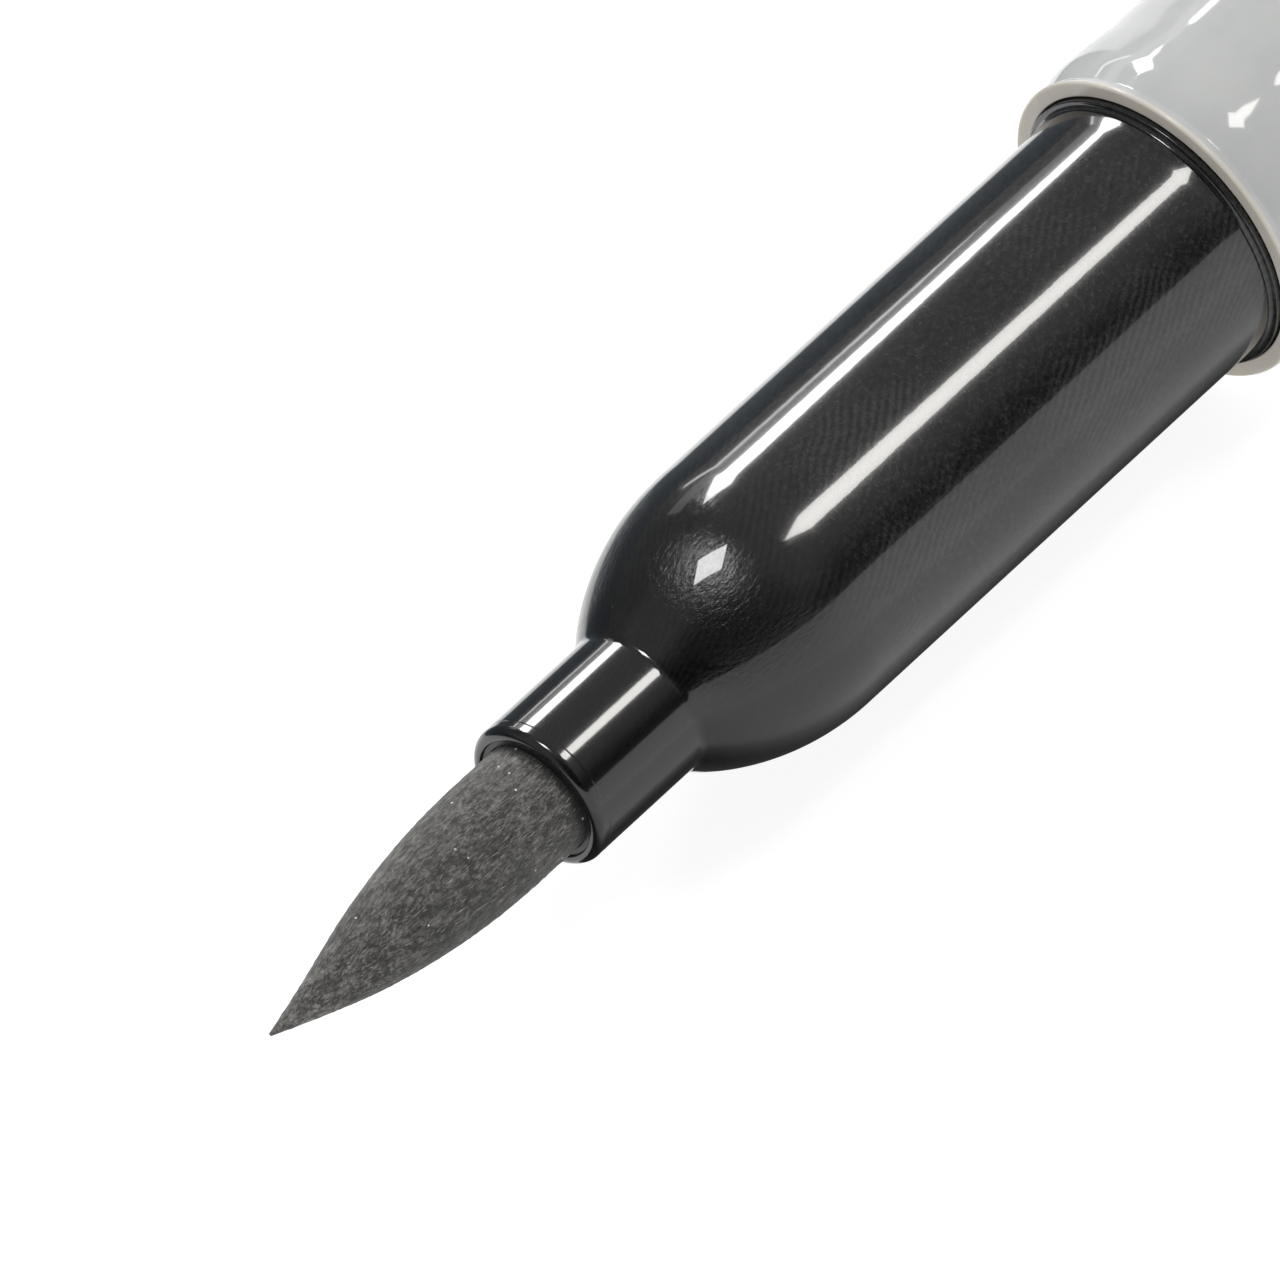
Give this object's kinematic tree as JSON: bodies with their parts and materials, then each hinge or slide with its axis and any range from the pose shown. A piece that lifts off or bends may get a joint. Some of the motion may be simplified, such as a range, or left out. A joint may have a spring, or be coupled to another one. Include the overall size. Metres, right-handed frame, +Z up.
{
  "type": "brush tip felt marker",
  "caption": "Felt tip marker with a flexible brush nib in a stepped black front section, a light grey barrel, and its clip cap posted on the tail.",
  "frame": {"origin": "on the marker's axis, at the middle of the straight part of the front section that the cap goes over", "axes": "+X along the axis from the nib to the tail, +Z up; the marker lies along X, leaning on its clip, with its lowest line at z = -6.07 mm"},
  "size_m": [0.166, 0.0143, 0.0122],
  "materials": {
    "black_gloss_plastic": "glossy, injection moulded",
    "dark_plastic": "satin",
    "felt_nib": "fibre point soaked with black ink",
    "reservoir_fibre": "ink-soaked fibre bundle",
    "clear_film": "clear film wrap",
    "light_grey_plastic": "glossy light grey, slightly translucent at the lip",
    "natural_soft_plastic": "milky, unpigmented"
  },
  "bodies": {
    "marker": {"front_section": "black_gloss_plastic", "nib_bush": "dark_plastic", "brush_nib_shank": "felt_nib", "reservoir_core": "reservoir_fibre", "reservoir_film": "clear_film", "barrel": "light_grey_plastic", "tail_plug": "black_gloss_plastic"},
    "nib": {"brush_nib_tip": "felt_nib"},
    "cap": {"cap_shell": "black_gloss_plastic", "cap_inner_seal": "natural_soft_plastic"},
    "clip": {"cap_clip": "black_gloss_plastic"}
  },
  "joints": [
    {"name": "nib_bend", "type": "hinge", "parent": "marker", "child": "nib", "pos_m": [-0.02189, 0, 0], "axis": [0, 1, 0], "range_deg": [-15, 15], "stiffness_Nm_per_rad": 0.018},
    {"name": "cap_slide", "type": "slide", "parent": "marker", "child": "cap", "axis": [1, 0, 0], "range_m": [0, 0.025]},
    {"name": "clip_flex", "type": "hinge", "parent": "cap", "child": "clip", "pos_m": [0.12397, -0.00656, -0.00374], "axis": [0, -0.4954, 0.8687], "range_deg": [0, 4], "stiffness_Nm_per_rad": 1.5}
  ]
}
